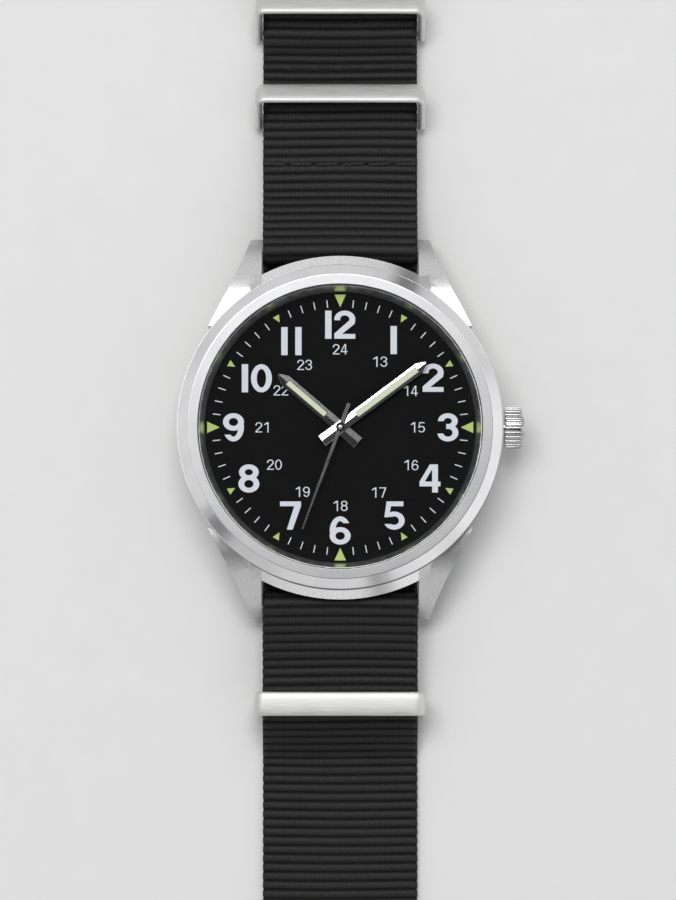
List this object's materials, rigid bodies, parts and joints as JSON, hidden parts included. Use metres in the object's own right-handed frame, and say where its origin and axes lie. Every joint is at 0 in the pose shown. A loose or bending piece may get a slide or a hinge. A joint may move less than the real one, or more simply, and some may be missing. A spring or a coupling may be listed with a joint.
{
  "type": "field watch",
  "caption": "Steel field watch with a black dial in both hour rings, on a ribbed black pass-through webbing strap with steel loops and a tang buckle.",
  "frame": {"origin": "on the table, under the dial's centre, on the underside of the short strap", "axes": "+Z out of the dial, +Y to 12 o'clock and the buckle, +X to the crown"},
  "size_m": [0.0441, 0.2729, 0.0109],
  "materials": {
    "case_steel": "vertical brushing, satin",
    "bezel_steel": "circular satin with a polished edge",
    "hardware_steel": "satin brushed",
    "hand_steel": "polished, ridged",
    "dark_steel": "dark polished",
    "crystal": "clear mineral glass",
    "dial_black": "matte black lacquer",
    "print_white": "printed ink",
    "lume_green": "luminous paint",
    "lume_pale": "luminous paint",
    "seal_rubber": "matte",
    "webbing": "ribbed nylon webbing",
    "thread": "twisted polyester thread",
    "gear_brass": "gilt",
    "movement_plate": "nickel plated",
    "holder_plastic": "moulded",
    "board_green": "solder mask",
    "coil_copper": "enamelled wire",
    "cell_steel": "plated"
  },
  "bodies": {
    "case": {"case_middle": "case_steel", "bezel": "bezel_steel", "crystal": "crystal", "crystal_gasket": "seal_rubber", "inner_ring": "hand_steel", "dial": "dial_black", "hour_numerals": "print_white", "small_numerals": "print_white", "minute_track": "print_white", "lume_triangles": "lume_green", "case_back": "case_steel", "case_back_gasket": "seal_rubber", "movement_holder": "holder_plastic", "main_plate": "movement_plate", "train_bridge": "movement_plate", "movement_screws": "cell_steel", "stator": "movement_plate", "coil": "coil_copper", "circuit_board": "board_green", "quartz_can": "cell_steel", "battery": "cell_steel", "battery_clip": "movement_plate", "crown_tube": "case_steel", "upper_bar_tube": "hardware_steel", "upper_bar_spring": "hardware_steel", "lower_bar_tube": "hardware_steel", "lower_bar_spring": "hardware_steel", "strap_long": "webbing", "strap_short": "webbing", "stitches": "thread"},
    "rotor": {"rotor": "cell_steel"},
    "fifth_wheel": {"fifth_wheel": "gear_brass"},
    "seconds": {"seconds_wheel": "gear_brass", "seconds_hand": "dark_steel"},
    "third_wheel": {"third_wheel": "gear_brass"},
    "minutes": {"centre_wheel": "gear_brass", "cannon_pinion": "gear_brass", "minute_hand": "hand_steel", "minute_hand_lume": "lume_pale"},
    "minute_wheel": {"minute_wheel": "gear_brass"},
    "hours": {"hour_wheel": "gear_brass", "hour_hand": "hand_steel", "hour_hand_lume": "lume_pale"},
    "stem_pull": {"stem_fork": "movement_plate"},
    "crown": {"crown": "case_steel", "stem": "cell_steel", "crown_gasket": "seal_rubber"},
    "upper_pin_left": {"upper_bar_pin_left": "hardware_steel"},
    "upper_pin_right": {"upper_bar_pin_right": "hardware_steel"},
    "lower_pin_left": {"lower_bar_pin_left": "hardware_steel"},
    "lower_pin_right": {"lower_bar_pin_right": "hardware_steel"},
    "keeper_near": {"keeper_near": "hardware_steel"},
    "keeper_far": {"keeper_far": "hardware_steel"},
    "end_ring": {"end_ring": "hardware_steel"},
    "buckle": {"buckle_frame": "hardware_steel", "buckle_bar": "hardware_steel"},
    "tang": {"buckle_tang": "hardware_steel"}
  },
  "joints": [
    {"name": "seconds_turn", "type": "hinge", "parent": "case", "child": "seconds", "pos_m": [0, 0, 0.005], "axis": [0, 0, -1], "continuous": true},
    {"name": "third_wheel_turn", "type": "hinge", "parent": "case", "child": "third_wheel", "pos_m": [-0.0036, 0, 0.005], "axis": [0, 0, -1], "continuous": true},
    {"name": "minutes_turn", "type": "hinge", "parent": "case", "child": "minutes", "pos_m": [0, 0, 0.005], "axis": [0, 0, -1], "continuous": true},
    {"name": "minute_wheel_turn", "type": "hinge", "parent": "case", "child": "minute_wheel", "pos_m": [0, -0.0024, 0.005], "axis": [0, 0, -1], "continuous": true},
    {"name": "hours_turn", "type": "hinge", "parent": "case", "child": "hours", "pos_m": [0, 0, 0.005], "axis": [0, 0, -1], "continuous": true},
    {"name": "fifth_wheel_turn", "type": "hinge", "parent": "case", "child": "fifth_wheel", "pos_m": [0, 0.0024, 0.005], "axis": [0, 0, -1], "continuous": true},
    {"name": "rotor_turn", "type": "hinge", "parent": "case", "child": "rotor", "pos_m": [0, 0.0045, 0.005], "axis": [0, 0, -1], "continuous": true},
    {"name": "crown_pull", "type": "slide", "parent": "case", "child": "stem_pull", "axis": [1, 0, 0], "range_m": [0, 0.001]},
    {"name": "crown_turn", "type": "hinge", "parent": "stem_pull", "child": "crown", "pos_m": [0.02, 0, 0.00577], "axis": [1, 0, 0], "continuous": true},
    {"name": "keeper_near_tilt", "type": "hinge", "parent": "case", "child": "keeper_near", "pos_m": [0, 0.0394, 0.0017], "axis": [1, 0, 0], "range_deg": [-11, 87]},
    {"name": "keeper_far_tilt", "type": "hinge", "parent": "case", "child": "keeper_far", "pos_m": [0, 0.0508, 0.0017], "axis": [1, 0, 0], "range_deg": [-11, 87]},
    {"name": "end_ring_tilt", "type": "hinge", "parent": "case", "child": "end_ring", "pos_m": [0, -0.0343, 0.0017], "axis": [1, 0, 0], "range_deg": [-33, 33]},
    {"name": "buckle_swing", "type": "hinge", "parent": "case", "child": "buckle", "pos_m": [0, 0.062, 0.002], "axis": [1, 0, 0], "range_deg": [0, 75]},
    {"name": "tang_swing", "type": "hinge", "parent": "buckle", "child": "tang", "pos_m": [0, 0.062, 0.002], "axis": [1, 0, 0], "range_deg": [0, 60]},
    {"name": "upper_pin_left_slide", "type": "slide", "parent": "case", "child": "upper_pin_left", "axis": [1, 0, 0], "range_m": [0, 0.0009], "stiffness_N_per_m": 400, "deforming": ["upper_bar_spring"]},
    {"name": "upper_pin_right_slide", "type": "slide", "parent": "case", "child": "upper_pin_right", "axis": [-1, 0, 0], "range_m": [0, 0.0009], "stiffness_N_per_m": 400, "deforming": ["upper_bar_spring"]},
    {"name": "lower_pin_left_slide", "type": "slide", "parent": "case", "child": "lower_pin_left", "axis": [1, 0, 0], "range_m": [0, 0.0009], "stiffness_N_per_m": 400, "deforming": ["lower_bar_spring"]},
    {"name": "lower_pin_right_slide", "type": "slide", "parent": "case", "child": "lower_pin_right", "axis": [-1, 0, 0], "range_m": [0, 0.0009], "stiffness_N_per_m": 400, "deforming": ["lower_bar_spring"]}
  ],
  "couplings": [
    {"joint": "third_wheel_turn", "follows": "seconds_turn", "ratio": -0.125},
    {"joint": "minutes_turn", "follows": "seconds_turn", "ratio": 0.016667},
    {"joint": "minute_wheel_turn", "follows": "seconds_turn", "ratio": -0.0055556},
    {"joint": "hours_turn", "follows": "seconds_turn", "ratio": 0.0013889},
    {"joint": "fifth_wheel_turn", "follows": "seconds_turn", "ratio": -5},
    {"joint": "rotor_turn", "follows": "seconds_turn", "ratio": 30}
  ]
}
